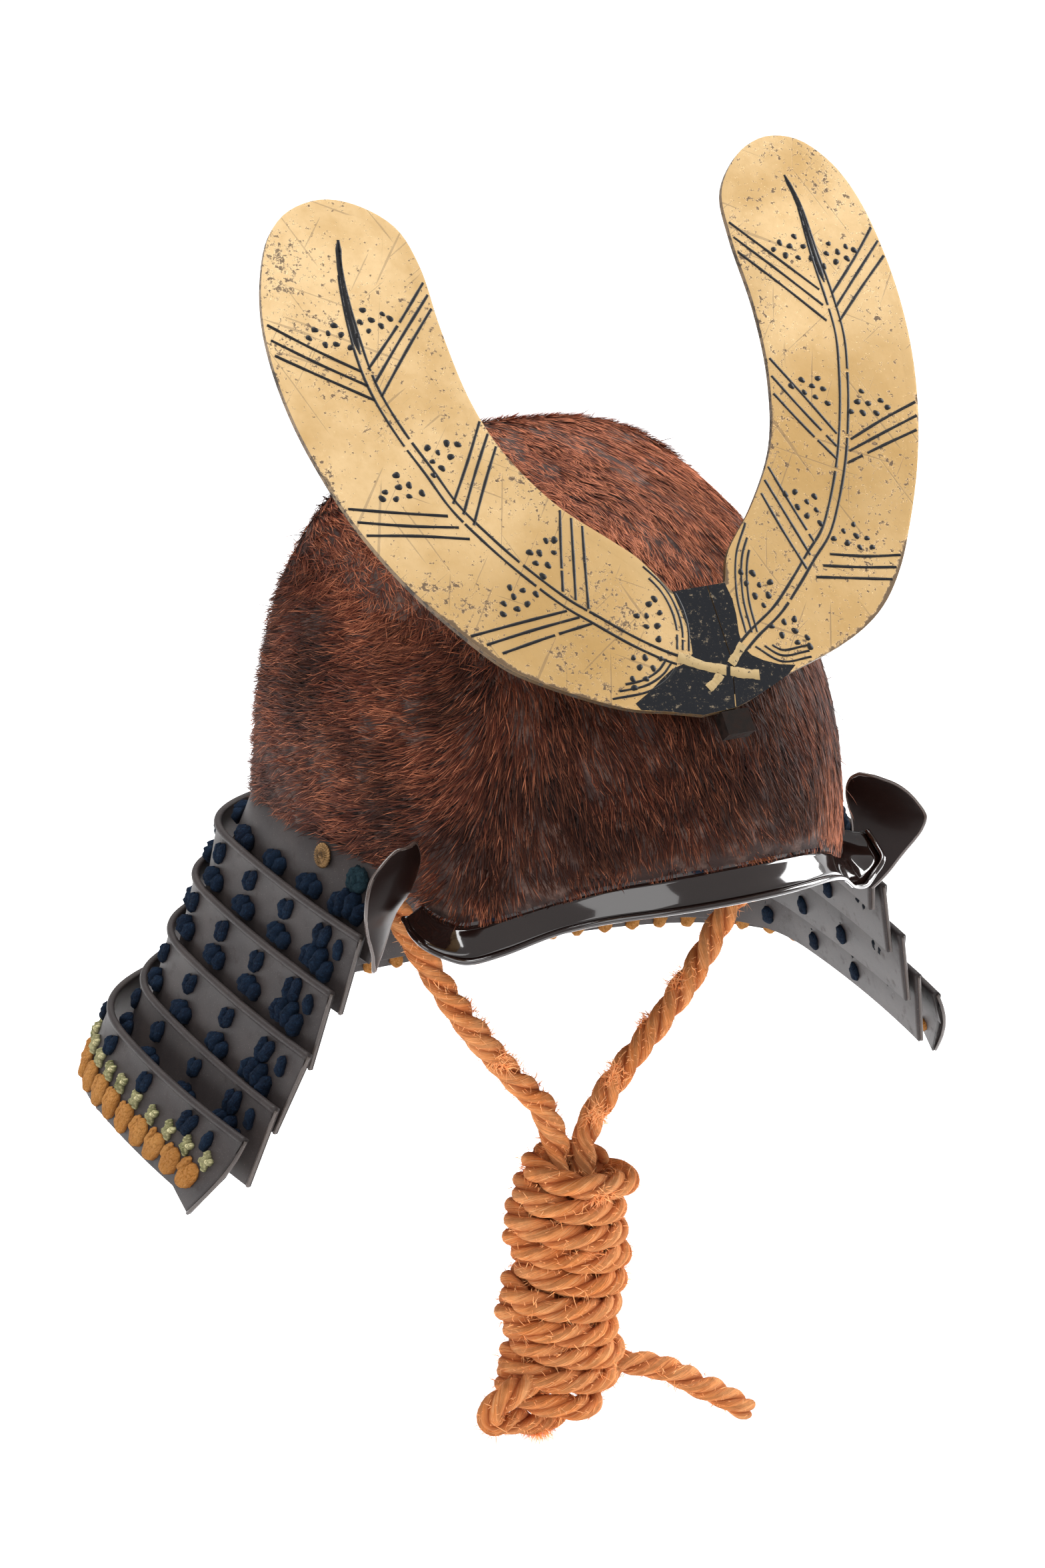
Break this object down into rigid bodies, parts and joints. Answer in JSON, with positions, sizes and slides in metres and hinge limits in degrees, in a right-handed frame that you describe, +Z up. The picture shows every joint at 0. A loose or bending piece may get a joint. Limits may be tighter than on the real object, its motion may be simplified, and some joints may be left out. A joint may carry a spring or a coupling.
{
  "type": "samurai helmet",
  "caption": "Samurai helmet: tall bowl under a furred hide, lacquered visor and leaf turn-backs, laced neck guard of lames, feather-shaped crest plates, wrapped rope chin cord.",
  "frame": {"origin": "the crown contact inside the bowl, where a head carries the helmet", "axes": "+Z up through the crown, -Y towards the visor and crest, +X towards the wearer's left"},
  "size_m": [0.3534, 0.2783, 0.5435],
  "materials": {
    "hide": "short reddish-brown fur",
    "iron": "dark russet iron",
    "lacquer": "satin brown-black lacquer",
    "gloss_lacquer": "glossy black-brown lacquer",
    "gold_leaf": "worn gold leaf over black lacquer",
    "gilt": "aged gilt",
    "blue_braid": "indigo silk braid",
    "rope": "orange twisted rope"
  },
  "bodies": {
    "root": {"fur_hide": "hide", "bowl": "iron", "top_plate": "lacquer", "lame_1": "lacquer", "lame_2": "lacquer", "lame_3": "lacquer", "lame_4": "lacquer", "lame_5": "lacquer", "visor": "gloss_lacquer", "turnback_left": "gloss_lacquer", "turnback_right": "gloss_lacquer", "crest_left": "gold_leaf", "crest_right": "gold_leaf", "crest_socket": "iron", "rosette_left": "gilt", "rosette_right": "gilt", "side_knot_left": "blue_braid", "side_knot_right": "blue_braid", "cord_loop": "rope", "cord_coil": "rope", "cord_foot": "rope", "cord_tail": "rope"}
  },
  "joints": []
}
